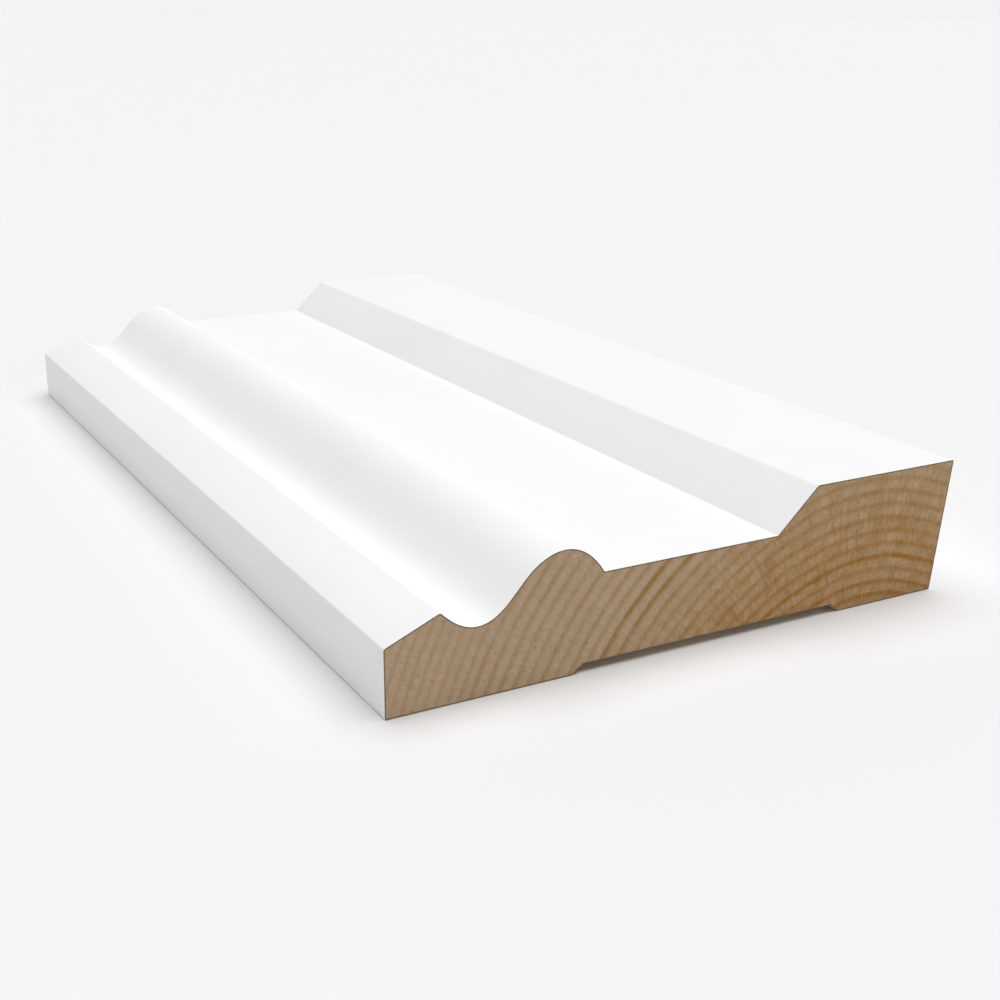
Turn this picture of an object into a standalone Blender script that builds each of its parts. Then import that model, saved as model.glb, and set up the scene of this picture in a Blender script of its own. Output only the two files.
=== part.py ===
"""A short length of pine skirting board, lying on its back with its moulded face up.

+X runs across the board, from the thin head edge to the thick floor edge. +Y runs along its length and +Z
points out of its face. The origin is on the plane that meets the wall, under the middle of the board.
"""

import math

import bmesh
import bpy
from mathutils import Vector

MM = 0.001

# The whole board. Widths are counted across the board and heights up from the plane that meets the wall.
BOARD_LENGTH = 235.0 * MM
BOARD_WIDTH = 120.0 * MM
BASE_HEIGHT = 26.0 * MM
FIELD_HEIGHT = 17.8 * MM
HEAD_EDGE_HEIGHT = 12.3 * MM

# The splay on the head edge, which ends in the ridge.
SPLAY_WIDTH = 10.0 * MM
SPLAY_RISE = 4.2 * MM

# The hollow, from the ridge down to its lowest line.
HOLLOW_WIDTH = 6.7 * MM
HOLLOW_DEPTH = 3.7 * MM
HOLLOW_ENTRY_ANGLE = math.radians(45.5)

# The bead, from the lowest line of the hollow up to its crown and down to the field.
BEAD_RISE_WIDTH = 16.5 * MM
BEAD_FALL_WIDTH = 7.7 * MM
BEAD_STAND = 5.3 * MM
BEAD_FOOT_ANGLE = math.radians(58.0)

# Where the hollow turns into the bead, as shares of the way from the hollow's lowest line to the bead's crown.
TURN_SHARE_ACROSS = 0.53
TURN_SHARE_UP = 0.61
TURN_ANGLE = math.radians(47.5)

# The base: a slope up from the field, a flat band, and a floor edge cut back so that its front lip meets the floor.
BASE_BAND_WIDTH = 33.4 * MM
BASE_SLOPE_WIDTH = 8.7 * MM
FLOOR_EDGE_UNDERCUT = 3.1 * MM

# The shallow relief along the back, between the two feet that bear on the wall.
HEAD_FOOT_WIDTH = 35.0 * MM
BASE_FOOT_WIDTH = 23.3 * MM
RELIEF_DEPTH = 1.6 * MM
RELIEF_SIDE_WIDTH = 1.9 * MM

# The outer corners that run along the board are eased. Its cut ends and inner corners are left crisp.
ARRIS_WIDTH = 0.3 * MM
ARRIS_STEPS = 3
ARRIS_LEAST_ANGLE = math.radians(15.0)

CURVE_STEPS = 16
MERGE_DISTANCE = 0.01 * MM

# The section is drawn flat and extruded along this direction, then turned so that its length lies along +Y.
DRAWN_LENGTHWAYS = Vector((0.0, 0.0, 1.0))
ALIGNED = 0.99

PAINT_COLOUR = (0.90, 0.90, 0.905, 1.0)
PAINT_ROUGHNESS = 0.42


class Knot:
    """A corner of the section, or a point on its curves. Its angle is the direction of the curve through it."""

    def __init__(self, across, up, angle=None):
        self.place = Vector((across - BOARD_WIDTH / 2, up, 0.0))
        self.angle = angle

    def direction(self):
        return Vector((math.cos(self.angle), math.sin(self.angle), 0.0))


def clear_scene():
    for old in list(bpy.data.objects):
        bpy.data.objects.remove(old)


def face_knots():
    """The moulded face, from the head edge to the floor edge."""
    ridge_up = HEAD_EDGE_HEIGHT + SPLAY_RISE
    hollow_across = SPLAY_WIDTH + HOLLOW_WIDTH
    hollow_up = ridge_up - HOLLOW_DEPTH
    crown_across = hollow_across + BEAD_RISE_WIDTH
    crown_up = FIELD_HEIGHT + BEAD_STAND
    turn_across = hollow_across + TURN_SHARE_ACROSS * BEAD_RISE_WIDTH
    turn_up = hollow_up + TURN_SHARE_UP * (crown_up - hollow_up)
    band_across = BOARD_WIDTH - BASE_BAND_WIDTH
    return [
        Knot(0.0, HEAD_EDGE_HEIGHT),
        Knot(SPLAY_WIDTH, ridge_up, -HOLLOW_ENTRY_ANGLE),
        Knot(hollow_across, hollow_up, 0.0),
        Knot(turn_across, turn_up, TURN_ANGLE),
        Knot(crown_across, crown_up, 0.0),
        Knot(crown_across + BEAD_FALL_WIDTH, FIELD_HEIGHT, -BEAD_FOOT_ANGLE),
        Knot(band_across - BASE_SLOPE_WIDTH, FIELD_HEIGHT),
        Knot(band_across, BASE_HEIGHT),
        Knot(BOARD_WIDTH, BASE_HEIGHT),
    ]


def back_knots():
    """The back, from the floor edge to the head edge: a foot, the relief and another foot."""
    base_foot_outside = BOARD_WIDTH - FLOOR_EDGE_UNDERCUT
    base_foot_inside = base_foot_outside - BASE_FOOT_WIDTH
    return [
        Knot(base_foot_outside, 0.0),
        Knot(base_foot_inside, 0.0),
        Knot(base_foot_inside - RELIEF_SIDE_WIDTH, RELIEF_DEPTH),
        Knot(HEAD_FOOT_WIDTH + RELIEF_SIDE_WIDTH, RELIEF_DEPTH),
        Knot(HEAD_FOOT_WIDTH, 0.0),
        Knot(0.0, 0.0),
    ]


def curved(start, end):
    return start.angle is not None and end.angle is not None


def handle_length(start, end):
    """The Bezier handle that draws a true arc where the ends are square to it, and a fair curve elsewhere."""
    turn = abs(end.angle - start.angle)
    chord = (end.place - start.place).length
    return chord * 2 / 3 * math.tan(turn / 4) / math.sin(turn / 2)


def draw_section(knots):
    """The closed outline as a filled flat curve, extruded to the board's length."""
    outline = bpy.data.curves.new("section", "CURVE")
    outline.dimensions = "2D"
    outline.fill_mode = "BOTH"
    outline.extrude = BOARD_LENGTH / 2
    outline.resolution_u = CURVE_STEPS
    spline = outline.splines.new("BEZIER")
    spline.bezier_points.add(len(knots) - 1)
    spline.use_cyclic_u = True
    for point, knot in zip(spline.bezier_points, knots):
        point.co = knot.place
        point.handle_left_type = "VECTOR"
        point.handle_right_type = "VECTOR"
    points = spline.bezier_points
    for index, start in enumerate(knots):
        following = (index + 1) % len(knots)
        end = knots[following]
        if curved(start, end):
            reach = handle_length(start, end)
            points[index].handle_right_type = "FREE"
            points[index].handle_right = start.place + start.direction() * reach
            points[following].handle_left_type = "FREE"
            points[following].handle_left = end.place - end.direction() * reach
    section = bpy.data.objects.new("section", outline)
    section.rotation_euler = (math.pi / 2, 0.0, 0.0)
    return section


def is_arris(edge):
    """An outer corner that runs along the board."""
    run = (edge.verts[1].co - edge.verts[0].co).normalized()
    lengthways = abs(run.dot(DRAWN_LENGTHWAYS)) > ALIGNED
    return lengthways and edge.is_convex and edge.calc_face_angle() > ARRIS_LEAST_ANGLE


def weld_and_mark(mesh):
    """Joins the loose ends to the sides, makes each end one face, and marks the outer corners for easing."""
    shape = bmesh.new()
    shape.from_mesh(mesh)
    bmesh.ops.remove_doubles(shape, verts=shape.verts, dist=MERGE_DISTANCE)
    bmesh.ops.recalc_face_normals(shape, faces=shape.faces)
    for outward in (DRAWN_LENGTHWAYS, -DRAWN_LENGTHWAYS):
        end = [face for face in shape.faces if face.normal.dot(outward) > ALIGNED]
        bmesh.ops.dissolve_faces(shape, faces=end)
    weight = shape.edges.layers.float.new("bevel_weight_edge")
    for edge in shape.edges:
        edge[weight] = float(is_arris(edge))
    shape.to_mesh(mesh)
    shape.free()


def make_board(section):
    """The section's curve made a mesh, with its outer corners eased by a bevel."""
    bpy.context.view_layer.update()
    graph = bpy.context.evaluated_depsgraph_get()
    mesh = bpy.data.meshes.new_from_object(section.evaluated_get(graph))
    mesh.name = "skirting_board"
    weld_and_mark(mesh)
    board = bpy.data.objects.new("skirting_board", mesh)
    board.matrix_world = section.matrix_world
    bpy.data.objects.remove(section)
    easing = board.modifiers.new("eased_arrises", "BEVEL")
    easing.limit_method = "WEIGHT"
    easing.width = ARRIS_WIDTH
    easing.segments = ARRIS_STEPS
    return board


def painted_pine():
    paint = bpy.data.materials.new("white_paint_on_pine")
    paint.use_nodes = True
    shader = paint.node_tree.nodes["Principled BSDF"]
    shader.inputs["Base Color"].default_value = PAINT_COLOUR
    shader.inputs["Roughness"].default_value = PAINT_ROUGHNESS
    shader.inputs["Metallic"].default_value = 0.0
    return paint


def main():
    clear_scene()
    moulding = bpy.data.collections.new("skirting_board")
    bpy.context.scene.collection.children.link(moulding)
    section = draw_section(face_knots() + back_knots())
    moulding.objects.link(section)
    board = make_board(section)
    moulding.objects.link(board)
    board.data.materials.append(painted_pine())
    board.data.shade_smooth()
    board.data.set_sharp_from_angle(angle=ARRIS_LEAST_ANGLE)


main()
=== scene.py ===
"""Finishes a short length of pine skirting board and lays it on a pale studio floor.

The frame is the board's own: +X runs across it from the thin head edge to the thick floor edge, +Y along it
and +Z out of its moulded face, and the back lies on Z = 0. Patterns are worked out in millimetres, as a
joiner would name them: ring widths, knife marks and the depth of a paint film.
"""

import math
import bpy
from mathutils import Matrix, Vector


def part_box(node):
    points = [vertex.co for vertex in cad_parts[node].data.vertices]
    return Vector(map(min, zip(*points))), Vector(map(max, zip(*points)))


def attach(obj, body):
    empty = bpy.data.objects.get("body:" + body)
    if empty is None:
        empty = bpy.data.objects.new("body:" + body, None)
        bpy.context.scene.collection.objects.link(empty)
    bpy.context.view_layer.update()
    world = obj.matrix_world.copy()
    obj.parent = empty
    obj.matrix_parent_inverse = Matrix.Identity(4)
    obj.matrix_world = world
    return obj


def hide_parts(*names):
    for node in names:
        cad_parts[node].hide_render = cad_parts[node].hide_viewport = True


bl_info = {
    "name": "Painted Pine Skirting Board",
    "version": (1, 0, 0),
    "blender": (4, 5, 0),
    "location": "View3D > Sidebar > Skirting",
    "description": "A length of moulded pine skirting with a satin painted face and bare sawn ends",
    "category": "Object",
}

from collections import namedtuple

import bpy
from mathutils import Matrix, Vector

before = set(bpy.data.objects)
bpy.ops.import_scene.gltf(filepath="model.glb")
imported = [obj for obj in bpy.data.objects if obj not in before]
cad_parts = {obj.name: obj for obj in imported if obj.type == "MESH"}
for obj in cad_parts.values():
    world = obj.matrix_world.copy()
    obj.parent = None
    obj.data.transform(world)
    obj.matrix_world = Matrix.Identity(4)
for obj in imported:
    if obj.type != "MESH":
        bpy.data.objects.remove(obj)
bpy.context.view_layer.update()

MM = 0.001
NODE = "skirting_board"
BOARD_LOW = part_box(NODE)[0]

# How the solid's triangles are put back together as whole faces.
MERGE_DISTANCE = 0.01 * MM
FLAT_ANGLE = math.radians(0.5)
SMOOTH_ANGLE = math.radians(15.0)
ALIGNED = 0.99
FACING_DOWN = -0.5
QUAD = 4

# The numbers of the board's materials, in the order in which it takes them.
PAINT, SAWN_END, RIM, BACK = 0, 1, 2, 3

# The pith of the tree, in mm across from the head edge and up from the back, at the near end.
PITH_ACROSS = 100.0
PITH_UP = -33.0
# It leans a little along the board, so that the rings run out through the back in long tongues.
PITH_LEAN = (math.radians(1.1), 0.0, math.radians(-0.9))
# The tree's growth from there outwards, as read from the end: years, ring width in mm, and how dark the
# latewood is.
FIRST_RADIUS = 30.0
GROWTH_SPELLS = (
    (4, 2.5, 0.75),
    (1, 2.5, 1.00),
    (8, 2.5, 0.50),
    (2, 3.0, 0.90),
    (9, 2.5, 0.50),
    (12, 2.0, 0.30),
)
# No two years are alike: each year's latewood is as dark as its spell's, times a share between these.
YEARLY_CHANGE = (0.75, 1.25)
# Waves that carry the rings out of round, and small ones along each ring: size and reach, in mm.
RING_WAVES = ((40.0, 0.8), (14.0, 0.1), (2.2, 0.1))
# The latewood's share of a ring before and after its darkest line, and where that line starts and ends.
LATEWOOD_BEFORE = 0.40
LATEWOOD_AFTER = 0.30
DARKEST = (0.02, 0.04)
# The wood turns from heartwood to sapwood between these distances from the pith, in mm.
HEART_END = 42.0
SAP_START = 72.0
# How much longer a feature of the wood is along the fibres, and along a ray, than across.
FIBRE_STRETCH = 60.0
RAY_STRETCH = 8.0
# Rays spread from the pith. Their spacing is true at this distance from it, in mm.
RAY_RADIUS = 58.0
# The saw ran up and down, so its marks are long that way and do not vary through the wood.
SAW_SQUEEZE = (1.0, 0.0, 0.22)
# Resin canals: about how far apart they would lie, in mm, the soft edge of each as shares of that, the share
# of them that is left out, and how strongly the rest show.
CANAL_SPACING = 2.4
CANAL_EDGE = (0.05, 0.13)
CANALS_LEFT_OUT = 0.60
CANAL_STRENGTH = 0.45

# The ripples that turning knives leave along planed wood, in mm.
KNIFE_PITCH = 1.9
# How deep each finish is from its hollows to its crests.
PAINT_DEPTH = 0.012 * MM
SAWN_DEPTH = 0.05 * MM
PLANED_DEPTH = 0.01 * MM
# The outer edges of the back's two feet, across the board in mm.
BACK_EDGES = (-60.0, 56.9)

FLOOR_SIZE = 80.0
FLOOR_GAP = 0.02 * MM
SENSOR_WIDTH = 36.0
CLIP_START = 10 * MM
KEY_PLACE = (0.4, 0.0, 0.8)
# The sky is brightest low down, and dims between these heights on a dome one unit high.
HORIZON_TOP = (0.02, 0.66)

# Nearly all of a noise pattern's values lie between these.
NOISE_LOW, NOISE_HIGH = 0.25, 0.75
# Socket numbers of the Mix node when it mixes colours.
SHARE, FIRST, SECOND, MIXED = 0, 6, 7, 2

Rings = namedtuple("Rings", "place fibre ray sapwood latewood")


def linear(hex_colour):
    """An sRGB hex colour as linear red, green, blue and alpha."""
    channels = [int(hex_colour[start:start + 2], 16) / 255 for start in (1, 3, 5)]
    bright = [c / 12.92 if c <= 0.04045 else ((c + 0.055) / 1.055) ** 2.4 for c in channels]
    return (*bright, 1.0)


def colour(name, description, hex_colour):
    return bpy.props.FloatVectorProperty(
        name=name, description=description, default=linear(hex_colour), size=4, subtype="COLOR",
        min=0.0, max=1.0,
    )


def length(name, description, millimetres):
    return bpy.props.FloatProperty(
        name=name, description=description, default=millimetres * MM, unit="LENGTH"
    )


def angle(name, description, degrees):
    return bpy.props.FloatProperty(
        name=name, description=description, default=math.radians(degrees), subtype="ANGLE"
    )


def strength(name, description, amount):
    return bpy.props.FloatProperty(
        name=name, description=description, default=amount, subtype="FACTOR", min=0.0, soft_max=4.0
    )


class BoardFinish(bpy.types.PropertyGroup):
    """Sizes and colours of the paint and the bare pine."""

    # The dark rim round each sawn end is partly bruised, paint-stained fibres and partly painted shade along
    # the arris.
    rim_width: length("Sawn rim", "Width of the bruised, stained line of fibres round each sawn end", 0.24)
    overspray_reach: length("Overspray", "How far the paint mist reaches in under the back", 5.0)
    paint: colour("Paint", "Satin white paint on the face and edges", "#F1F1F1")
    paint_shade: colour("Paint shade", "The paint where its coat is a little thinner", "#EFEFF0")
    heart_early: colour("Heart earlywood", "Sawn earlywood near the pith", "#AE906B")
    heart_late: colour("Heart latewood", "Sawn latewood near the pith", "#955F12")
    sap_early: colour("Sap earlywood", "Sawn earlywood towards the bark", "#B29B7F")
    sap_late: colour("Sap latewood", "Sawn latewood towards the bark", "#95713C")
    resin: colour("Resin", "Drops in the resin canals of the sawn ends", "#6B4A22")
    soaked: colour("Resin-soaked wood", "Golden blotches of resin in the sawn heartwood", "#9A6C18")
    # Partly painted shade: this dark colour also stands in for the shade along each sawn end's arris.
    rim: colour("Rim", "Bruised fibres round the sawn ends", "#52412E")
    planed_early: colour("Planed earlywood", "Bare planed earlywood on the back", "#E0C59B")
    planed_late: colour("Planed latewood", "Bare planed latewood on the back", "#C08E54")


class Studio(bpy.types.PropertyGroup):
    """The floor, the light and the camera."""

    floor: colour("Floor", "Matt paper under the board", "#E4E4E5")
    sky: colour("Sky", "The colour of the light from all round", "#FEFEFF")
    sky_strength: strength("Sky strength", "Dim light from high up", 0.02)
    horizon_strength: strength("Horizon strength", "Light low down all round, as bright as the floor", 0.905)
    key_strength: strength("Key strength", "Soft light from above", 3.33)
    key_tilt: angle("Key tilt", "How far the key leans to the floor edge's side", 8.5)
    key_spread: angle("Key spread", "The key's width as seen from the board", 72.0)
    lens: bpy.props.FloatProperty(name="Lens", description="Focal length on a 36 mm sensor", default=52.15,
                                  unit="CAMERA")
    camera_place: bpy.props.FloatVectorProperty(
        name="Camera place", description="Where the camera stands", default=(-0.14479, -0.30693, 0.10652),
        subtype="TRANSLATION", unit="LENGTH",
    )
    camera_turn: bpy.props.FloatVectorProperty(
        name="Camera turn", description="How far the camera is turned right, tipped down and rolled",
        default=(math.radians(29.114), math.radians(18.570), math.radians(0.279)), subtype="EULER",
    )


def add(tree, kind, inputs=None, out=0, **settings):
    """Adds a node, sets its settings, gives its inputs values or links, and returns the output asked for."""
    node = tree.nodes.new(kind)
    for name, value in settings.items():
        setattr(node, name, value)
    for socket, value in (inputs or {}).items():
        if isinstance(value, bpy.types.NodeSocket):
            tree.links.new(value, node.inputs[socket])
        else:
            node.inputs[socket].default_value = value
    return node.outputs[out]


def new_material(name):
    """A material with no nodes yet, and its node tree."""
    material = bpy.data.materials.new(name)
    material.use_nodes = True
    material.node_tree.nodes.clear()
    return material, material.node_tree


def surface(tree, inputs):
    """Ends a material in one Principled shader."""
    shader = add(tree, "ShaderNodeBsdfPrincipled", inputs)
    output = tree.nodes.new("ShaderNodeOutputMaterial")
    tree.links.new(shader, output.inputs["Surface"])


def in_millimetres(tree):
    """The object's own coordinates, in millimetres."""
    place = add(tree, "ShaderNodeTexCoord", out="Object")
    return add(tree, "ShaderNodeVectorMath", {0: place, "Scale": 1 / MM}, operation="SCALE")


def along_grain(tree, place):
    """Coordinates in which a pattern is drawn out along the fibres."""
    squeeze = (1.0, 1 / FIBRE_STRETCH, 1.0)
    return add(tree, "ShaderNodeVectorMath", {0: place, 1: squeeze}, operation="MULTIPLY")


def mottle(tree, place, size, low, high, detail=2.0, roughness=0.5):
    """Patches of about that size in mm, whose values run from low to high."""
    noise = add(tree, "ShaderNodeTexNoise", {"Vector": place, "Scale": 1 / size, "Detail": detail,
                                             "Roughness": roughness})
    return add(tree, "ShaderNodeMapRange", {0: noise, 1: NOISE_LOW, 2: NOISE_HIGH, 3: low, 4: high})


def dimmed(tree, tint, *shares):
    """A colour made lighter or darker by each share in turn."""
    for share in shares:
        tint = add(tree, "ShaderNodeVectorMath", {0: tint, "Scale": share}, operation="SCALE")
    return tint


def total(tree, *values):
    """The sum of several numbers that vary over the surface."""
    result = values[0]
    for value in values[1:]:
        result = add(tree, "ShaderNodeMath", {0: result, 1: value}, operation="ADD")
    return result


def knife_marks(tree, place):
    """The even ripples across planed wood, from 0 in their troughs to 1 on their crests."""
    along = add(tree, "ShaderNodeSeparateXYZ", {0: place}, "Y")
    turns = add(tree, "ShaderNodeMath", {0: along, 1: math.tau / KNIFE_PITCH}, operation="MULTIPLY")
    wave = add(tree, "ShaderNodeMath", {0: turns}, operation="SINE")
    return add(tree, "ShaderNodeMapRange", {0: wave, 1: -1.0, 2: 1.0})


def growth_rings(tree):
    """The wood's own coordinates round the pith, and how far it is sapwood and latewood, from 0 to 1."""
    place = in_millimetres(tree)
    pith = Vector((BOARD_LOW.x / MM + PITH_ACROSS, BOARD_LOW.y / MM, PITH_UP))
    from_pith = add(tree, "ShaderNodeMapping", {"Vector": place, "Location": pith, "Rotation": PITH_LEAN},
                    vector_type="TEXTURE")
    section = add(tree, "ShaderNodeVectorMath", {0: from_pith, 1: (1.0, 0.0, 1.0)}, operation="MULTIPLY")
    fibre = along_grain(tree, from_pith)
    radius = add(tree, "ShaderNodeVectorMath", {0: section}, "Value", operation="LENGTH")
    for size, reach in RING_WAVES:
        radius = total(tree, radius, mottle(tree, fibre, size, -reach, reach))
    parts = add(tree, "ShaderNodeSeparateXYZ", {0: fibre}).node.outputs
    bearing = add(tree, "ShaderNodeMath", {0: parts["X"], 1: parts["Z"]}, operation="ARCTAN2")
    arc = add(tree, "ShaderNodeMath", {0: bearing, 1: RAY_RADIUS}, operation="MULTIPLY")
    outwards = add(tree, "ShaderNodeMath", {0: radius, 1: RAY_STRETCH}, operation="DIVIDE")
    ray = add(tree, "ShaderNodeCombineXYZ", {"X": arc, "Y": parts["Y"], "Z": outwards})
    sapwood = add(tree, "ShaderNodeMapRange", {0: radius, 1: HEART_END, 2: SAP_START},
                  interpolation_type="SMOOTHSTEP")
    return Rings(place, fibre, ray, sapwood, latewood(tree, radius, ray))


def latewood(tree, radius, ray):
    """How far the wood is latewood: a soft line in each ring, as dark as its years, that fades in places."""
    years = sum(count for count, width, dark in GROWTH_SPELLS)
    depth = sum(count * width for count, width, dark in GROWTH_SPELLS)
    share = add(tree, "ShaderNodeMapRange", {0: radius, 1: FIRST_RADIUS, 2: FIRST_RADIUS + depth})
    age_share = add(tree, "ShaderNodeFloatCurve", {1: share})
    age = add(tree, "ShaderNodeMath", {0: age_share, 1: float(years)}, operation="MULTIPLY")
    ring = add(tree, "ShaderNodeMath", {0: age}, operation="ROUND")
    ring_share = add(tree, "ShaderNodeMath", {0: ring, 1: float(years)}, operation="DIVIDE")
    darkness = add(tree, "ShaderNodeValToRGB", {0: ring_share})
    points = age_share.node.mapping.curves[0].points
    ramp = darkness.node.color_ramp
    ramp.interpolation = "CONSTANT"
    ramp.elements.remove(ramp.elements[-1])
    ramp.elements[0].color = (*[GROWTH_SPELLS[0][2]] * 3, 1.0)
    age_now, depth_now = 0, 0.0
    for (count, width, dark), (_, _, next_dark) in zip(GROWTH_SPELLS, GROWTH_SPELLS[1:]):
        age_now += count
        depth_now += count * width
        points.new(depth_now / depth, age_now / years)
        ramp.elements.new((age_now + 0.5) / years).color = (next_dark, next_dark, next_dark, 1.0)
    for point in points:
        point.handle_type = "VECTOR"
    age_share.node.mapping.update()
    since = add(tree, "ShaderNodeMath", {0: age, 1: ring}, operation="SUBTRACT")
    rise = add(tree, "ShaderNodeMapRange", {0: since, 1: -LATEWOOD_BEFORE, 2: DARKEST[0], 3: 0.0, 4: 1.0},
               interpolation_type="SMOOTHSTEP")
    fall = add(tree, "ShaderNodeMapRange", {0: since, 1: DARKEST[1], 2: LATEWOOD_AFTER, 3: 1.0, 4: 0.0},
               interpolation_type="SMOOTHSTEP")
    line = add(tree, "ShaderNodeMath", {0: rise, 1: fall}, operation="MULTIPLY")
    line = add(tree, "ShaderNodeMath", {0: line, 1: darkness}, operation="MULTIPLY")
    chance = add(tree, "ShaderNodeTexWhiteNoise", {"W": ring}, "Value", noise_dimensions="1D")
    change = add(tree, "ShaderNodeMapRange", {0: chance, 3: YEARLY_CHANGE[0], 4: YEARLY_CHANGE[1]})
    line = add(tree, "ShaderNodeMath", {0: line, 1: change}, operation="MULTIPLY")
    fading = mottle(tree, ray, 3.2, 0.50, 1.50, detail=4.0, roughness=0.6)
    return add(tree, "ShaderNodeMath", {0: line, 1: fading}, operation="MULTIPLY", use_clamp=True)


def satin_paint(finish):
    """Satin alkyd enamel, sprayed on planed pine: an even cool white with a soft, broad sheen.

    Close to, it shows the spray's fine orange peel, the grain under it and the last trace of the knives.
    """
    material, tree = new_material("satin_alkyd_paint")
    place = in_millimetres(tree)
    cloud = mottle(tree, place, 28.0, 0.0, 1.0)
    grain = mottle(tree, along_grain(tree, place), 1.1, 0.0, 0.55, detail=3.0)
    peel = mottle(tree, place, 1.7, 0.0, 0.45, detail=1.0)
    ripple = add(tree, "ShaderNodeMath", {0: knife_marks(tree, place), 1: 0.12}, operation="MULTIPLY")
    height = total(tree, grain, peel, ripple)
    bump = add(tree, "ShaderNodeBump", {"Height": height, "Distance": PAINT_DEPTH, "Strength": 1.0})
    sheen = mottle(tree, place, 9.0, 0.36, 0.46)
    tint = add(tree, "ShaderNodeMix", {SHARE: cloud, FIRST: finish.paint, SECOND: finish.paint_shade}, MIXED,
               data_type="RGBA")
    surface(tree, {"Base Color": tint, "Roughness": sheen, "IOR": 1.5, "Normal": bump})
    return material


def pine_tint(tree, rings, heart_early, heart_late, sap_early, sap_late):
    """The wood's colour, from warm heartwood near the pith to paler sapwood, with its latewood lines."""
    early = add(tree, "ShaderNodeMix", {SHARE: rings.sapwood, FIRST: heart_early, SECOND: sap_early}, MIXED,
                data_type="RGBA")
    late = add(tree, "ShaderNodeMix", {SHARE: rings.sapwood, FIRST: heart_late, SECOND: sap_late}, MIXED,
               data_type="RGBA")
    return add(tree, "ShaderNodeMix", {SHARE: rings.latewood, FIRST: early, SECOND: late}, MIXED,
               data_type="RGBA")


def resin_canals(tree, rings):
    """Resin canals cut across: fine dark dots here and there, drawn about 0.3 mm wide so that they show."""
    cells = add(tree, "ShaderNodeTexVoronoi", {"Vector": rings.fibre, "Scale": 1 / CANAL_SPACING})
    dot = add(tree, "ShaderNodeMapRange", {0: cells, 1: CANAL_EDGE[0], 2: CANAL_EDGE[1], 3: 1.0, 4: 0.0},
              interpolation_type="SMOOTHSTEP")
    chance = add(tree, "ShaderNodeSeparateColor", {0: cells.node.outputs["Color"]}, "Red")
    present = add(tree, "ShaderNodeMath", {0: chance, 1: CANALS_LEFT_OUT}, operation="GREATER_THAN")
    return add(tree, "ShaderNodeMath", {0: dot, 1: present}, operation="MULTIPLY")


def sawn_end(finish):
    """Scots pine end grain off a fine saw: dull and open-pored, with soft brown rings and faint rays.

    The heartwood is blotched with golden resin, and shows the saw's up and down marks.
    """
    material, tree = new_material("scots_pine_end_grain")
    rings = growth_rings(tree)
    tint = pine_tint(tree, rings, finish.heart_early, finish.heart_late, finish.sap_early, finish.sap_late)
    patches = mottle(tree, rings.fibre, 3.6, -1.0, 1.0, detail=5.0, roughness=0.72)
    blotches = mottle(tree, rings.ray, 1.1, -0.1, 0.72, detail=4.0, roughness=0.6)
    blotches = add(tree, "ShaderNodeMath", {0: patches, 1: -0.35, 2: blotches}, operation="MULTIPLY_ADD")
    soak = add(tree, "ShaderNodeMapRange", {0: rings.sapwood, 3: 1.0, 4: 0.22})
    soak = add(tree, "ShaderNodeMath", {0: soak, 1: blotches}, operation="MULTIPLY", use_clamp=True)
    tint = add(tree, "ShaderNodeMix", {SHARE: soak, FIRST: tint, SECOND: finish.soaked}, MIXED,
               data_type="RGBA")
    rays = mottle(tree, rings.ray, 0.45, 0.95, 1.05, detail=1.0)
    saw_place = add(tree, "ShaderNodeVectorMath", {0: rings.place, 1: SAW_SQUEEZE}, operation="MULTIPLY")
    saw_marks = mottle(tree, saw_place, 0.45, -1.0, 1.0, detail=2.0)
    saw_reach = add(tree, "ShaderNodeMapRange", {0: rings.sapwood, 3: 0.08, 4: 0.02})
    saw_share = add(tree, "ShaderNodeMath", {0: saw_marks, 1: saw_reach, 2: 1.0}, operation="MULTIPLY_ADD")
    pores = mottle(tree, rings.fibre, 0.55, 0.90, 1.10, detail=2.0, roughness=0.7)
    patch_reach = add(tree, "ShaderNodeMapRange", {0: rings.sapwood, 3: 0.16, 4: 0.02})
    patch_share = add(tree, "ShaderNodeMath", {0: patches, 1: patch_reach, 2: 1.0}, operation="MULTIPLY_ADD")
    tint = dimmed(tree, tint, rays, saw_share, pores, patch_share)
    hue = mottle(tree, rings.fibre, 0.9, 0.485, 0.515)
    tint = add(tree, "ShaderNodeHueSaturation", {"Hue": hue, "Color": tint})
    canals = add(tree, "ShaderNodeMath", {0: resin_canals(tree, rings), 1: CANAL_STRENGTH},
                 operation="MULTIPLY")
    tint = add(tree, "ShaderNodeMix", {SHARE: canals, FIRST: tint, SECOND: finish.resin}, MIXED,
               data_type="RGBA")
    height = total(tree, rings.latewood, pores, saw_marks)
    bump = add(tree, "ShaderNodeBump", {"Height": height, "Distance": SAWN_DEPTH, "Strength": 1.0})
    dullness = add(tree, "ShaderNodeMapRange", {0: rings.latewood, 3: 0.82, 4: 0.68})
    surface(tree, {"Base Color": tint, "Roughness": dullness, "IOR": 1.45, "Normal": bump})
    return material


def bruised_and_shaded_rim(finish):
    """The outermost fibres of a sawn end, bruised by the saw and stained by paint, and darkened further as
    painted shade along the arris: a thin dark line.
    """
    material, tree = new_material("bruised_fibres_painted_shade")
    specks = mottle(tree, in_millimetres(tree), 0.8, 0.0, 0.5, detail=2.0)
    tint = add(tree, "ShaderNodeMix", {SHARE: specks, FIRST: finish.rim, SECOND: finish.sap_early}, MIXED,
               data_type="RGBA")
    surface(tree, {"Base Color": tint, "Roughness": 0.85, "IOR": 1.45})
    return material


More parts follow.
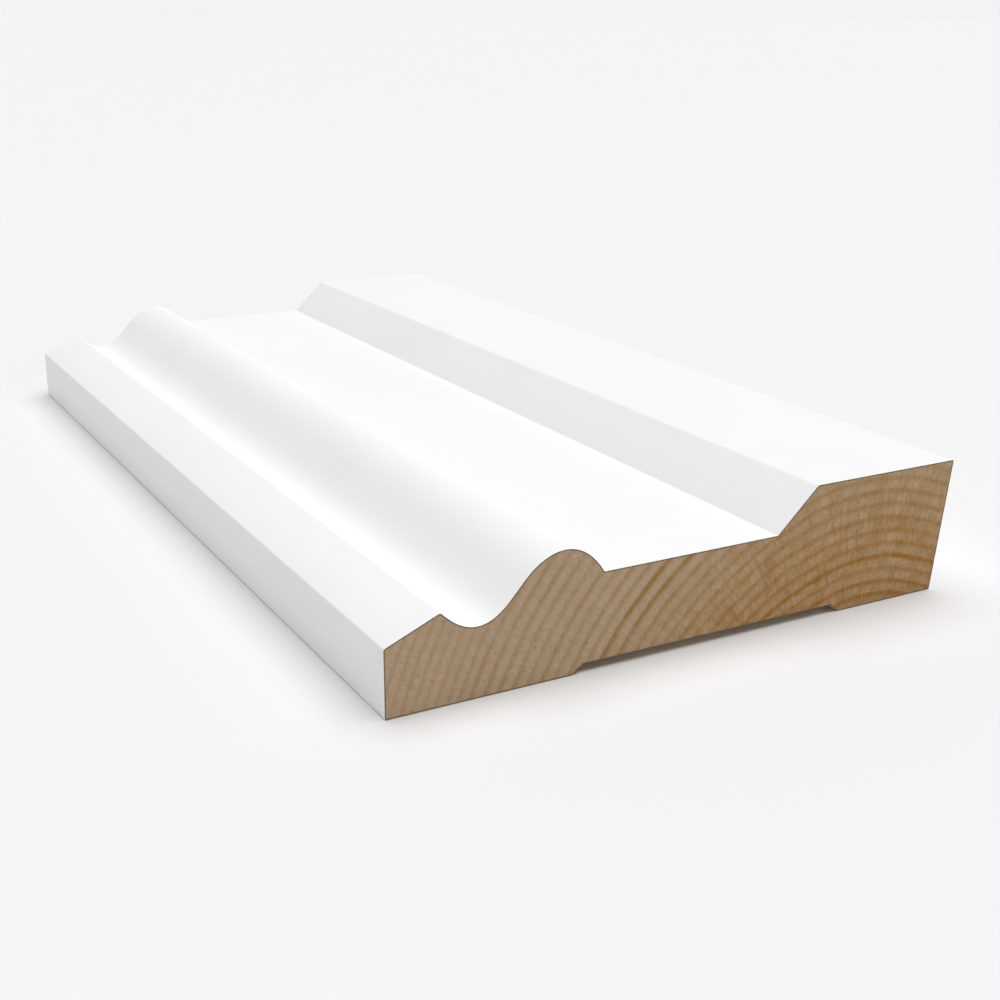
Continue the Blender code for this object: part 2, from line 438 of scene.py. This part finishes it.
def paint_mist(tree, place, reach):
    """Where paint drifted in under the back's long edges, from 0 to 1: dense there, then broken specks."""
    low, high = BACK_EDGES
    across = add(tree, "ShaderNodeSeparateXYZ", {0: place}, "X")
    from_middle = add(tree, "ShaderNodeMath", {0: across, 1: (low + high) / 2}, operation="SUBTRACT")
    from_middle = add(tree, "ShaderNodeMath", {0: from_middle}, operation="ABSOLUTE")
    edge = (high - low) / 2
    nearness = add(tree, "ShaderNodeMapRange", {0: from_middle, 1: edge - reach, 2: edge})
    specks = mottle(tree, place, 0.7, 0.0, 0.9, detail=4.0, roughness=0.7)
    density = total(tree, nearness, specks)
    return add(tree, "ShaderNodeMapRange", {0: density, 1: 0.75, 2: 1.35, 3: 0.0, 4: 0.85},
               interpolation_type="SMOOTHSTEP")


def planed_back(finish):
    """Planed Scots pine, left bare: creamy and silky, with long orange latewood lines and knife marks.

    A mist of paint reaches in from the long edges.
    """
    material, tree = new_material("planed_scots_pine")
    rings = growth_rings(tree)
    early, late = finish.planed_early, finish.planed_late
    tint = pine_tint(tree, rings, early, late, early, late)
    streaks = mottle(tree, rings.fibre, 0.55, 0.92, 1.06, detail=3.0, roughness=0.6)
    tint = dimmed(tree, tint, streaks)
    mist = paint_mist(tree, rings.place, finish.overspray_reach / MM)
    tint = add(tree, "ShaderNodeMix", {SHARE: mist, FIRST: tint, SECOND: finish.paint_shade}, MIXED,
               data_type="RGBA")
    height = total(tree, knife_marks(tree, rings.place), rings.latewood, streaks)
    bump = add(tree, "ShaderNodeBump", {"Height": height, "Distance": PLANED_DEPTH, "Strength": 1.0})
    silk = add(tree, "ShaderNodeMapRange", {0: rings.latewood, 3: 0.60, 4: 0.46})
    surface(tree, {"Base Color": tint, "Roughness": silk, "IOR": 1.45, "Normal": bump})
    return material


def wake(piece):
    """Makes a piece the only one selected, and the active one."""
    bpy.ops.object.select_all(action="DESELECT")
    piece.select_set(True)
    bpy.context.view_layer.objects.active = piece


def select_faces(piece, wanted):
    """Selects the faces that wanted accepts, and leaves the piece in edit mode."""
    bpy.context.tool_settings.mesh_select_mode = (False, False, True)
    bpy.ops.object.mode_set(mode="EDIT")
    bpy.ops.mesh.select_all(action="DESELECT")
    bpy.ops.object.mode_set(mode="OBJECT")
    for face in piece.data.polygons:
        face.select = wanted(face)
    bpy.ops.object.mode_set(mode="EDIT")


def is_end(face):
    return abs(face.normal.y) > ALIGNED


def solid_as_whole_faces(name):
    """A copy of the board's solid, with its loose triangles merged into long quads and two flat ends."""
    piece = bpy.data.objects.new(name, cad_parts[NODE].data.copy())
    bpy.context.collection.objects.link(piece)
    wake(piece)
    piece.data.materials.clear()
    bpy.ops.object.mode_set(mode="EDIT")
    bpy.ops.mesh.select_all(action="SELECT")
    bpy.ops.mesh.remove_doubles(threshold=MERGE_DISTANCE)
    bpy.ops.mesh.customdata_custom_splitnormals_clear()
    bpy.ops.mesh.dissolve_limited(angle_limit=FLAT_ANGLE)
    bpy.ops.object.mode_set(mode="OBJECT")
    return piece


def finish_of(face):
    """The number of the material that a face takes."""
    if is_end(face):
        return RIM if len(face.vertices) == QUAD else SAWN_END
    return BACK if face.normal.z < FACING_DOWN else PAINT


class SKIRTING_OT_board(bpy.types.Operator):
    """Make the painted board with its bare ends and back"""

    bl_idname = "skirting.board"
    bl_label = "Painted board"

    def execute(self, context):
        finish = context.scene.board_finish
        board = solid_as_whole_faces("painted_skirting_board")
        select_faces(board, is_end)
        # The inset leaves a thin rim round each end for the dark line, which is partly painted shade.
        bpy.ops.mesh.inset(thickness=finish.rim_width, use_even_offset=True)
        bpy.ops.object.mode_set(mode="OBJECT")
        for material in (satin_paint(finish), sawn_end(finish), bruised_and_shaded_rim(finish), planed_back(finish)):
            board.data.materials.append(material)
        for face in board.data.polygons:
            face.material_index = finish_of(face)
        bpy.ops.object.shade_smooth_by_angle(angle=SMOOTH_ANGLE)
        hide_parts(NODE)
        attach(board, "root")
        return {"FINISHED"}


def lay_floor(studio):
    """A broad sheet of matt paper, just under the board's feet."""
    bpy.ops.mesh.primitive_plane_add(size=FLOOR_SIZE, location=(0.0, 0.0, BOARD_LOW.z - FLOOR_GAP))
    floor = bpy.context.object
    floor.name = "studio_floor"
    material, tree = new_material("matt_paper")
    surface(tree, {"Base Color": studio.floor, "Roughness": 0.9, "Specular IOR Level": 0.2})
    floor.data.materials.append(material)


def light_studio(studio):
    """Soft light from low down all round, dim higher up, and one broad key from above."""
    world = bpy.data.worlds.new("studio_light")
    bpy.context.scene.world = world
    world.use_nodes = True
    tree = world.node_tree
    tree.nodes.clear()
    up = add(tree, "ShaderNodeTexCoord", out="Generated")
    height = add(tree, "ShaderNodeSeparateXYZ", {0: up}, "Z")
    amount = add(tree, "ShaderNodeMapRange", {0: height, 1: HORIZON_TOP[0], 2: HORIZON_TOP[1],
                                              3: studio.horizon_strength, 4: studio.sky_strength},
                 interpolation_type="SMOOTHSTEP")
    light = add(tree, "ShaderNodeBackground", {"Color": studio.sky, "Strength": amount})
    output = tree.nodes.new("ShaderNodeOutputWorld")
    tree.links.new(light, output.inputs["Surface"])
    bpy.ops.object.light_add(type="SUN", location=KEY_PLACE, rotation=(0.0, studio.key_tilt, 0.0))
    key = bpy.context.object
    key.name = "key_light"
    key.data.energy = studio.key_strength
    key.data.angle = studio.key_spread


def stand_camera(studio):
    """The camera, where the photograph was taken from."""
    right, down, roll = studio.camera_turn
    turn = Matrix.Rotation(-right, 4, "Z") @ Matrix.Rotation(math.pi / 2 - down, 4, "X")
    turn = turn @ Matrix.Rotation(roll, 4, "Z")
    bpy.ops.object.camera_add(location=studio.camera_place, rotation=turn.to_euler())
    camera = bpy.context.object
    camera.name = "photograph_view"
    camera.data.sensor_width = SENSOR_WIDTH
    camera.data.lens = studio.lens
    camera.data.clip_start = CLIP_START
    bpy.context.scene.camera = camera


class SKIRTING_OT_stage(bpy.types.Operator):
    """Make the floor, the light and the camera"""

    bl_idname = "skirting.stage"
    bl_label = "Studio"

    def execute(self, context):
        studio = context.scene.studio
        lay_floor(studio)
        light_studio(studio)
        stand_camera(studio)
        context.scene.view_settings.view_transform = "Standard"
        return {"FINISHED"}


class SKIRTING_PT_panel(bpy.types.Panel):
    """Lists what can be made, and the sizes, colours and lights that can be changed"""

    bl_idname = "SKIRTING_PT_panel"
    bl_label = "Skirting Board"
    bl_space_type = "VIEW_3D"
    bl_region_type = "UI"
    bl_category = "Skirting"

    def draw(self, context):
        for operator in (SKIRTING_OT_board, SKIRTING_OT_stage):
            self.layout.operator(operator.bl_idname)
        for group in (context.scene.board_finish, context.scene.studio):
            for name in group.__annotations__:
                self.layout.prop(group, name)


CLASSES = (BoardFinish, Studio, SKIRTING_OT_board, SKIRTING_OT_stage, SKIRTING_PT_panel)


def register():
    for each in CLASSES:
        bpy.utils.register_class(each)
    bpy.types.Scene.board_finish = bpy.props.PointerProperty(type=BoardFinish)
    bpy.types.Scene.studio = bpy.props.PointerProperty(type=Studio)


def unregister():
    del bpy.types.Scene.studio
    del bpy.types.Scene.board_finish
    for each in reversed(CLASSES):
        bpy.utils.unregister_class(each)


def main():
    register()
    bpy.ops.skirting.board()
    bpy.ops.skirting.stage()


if __name__ == "__main__":
    main()
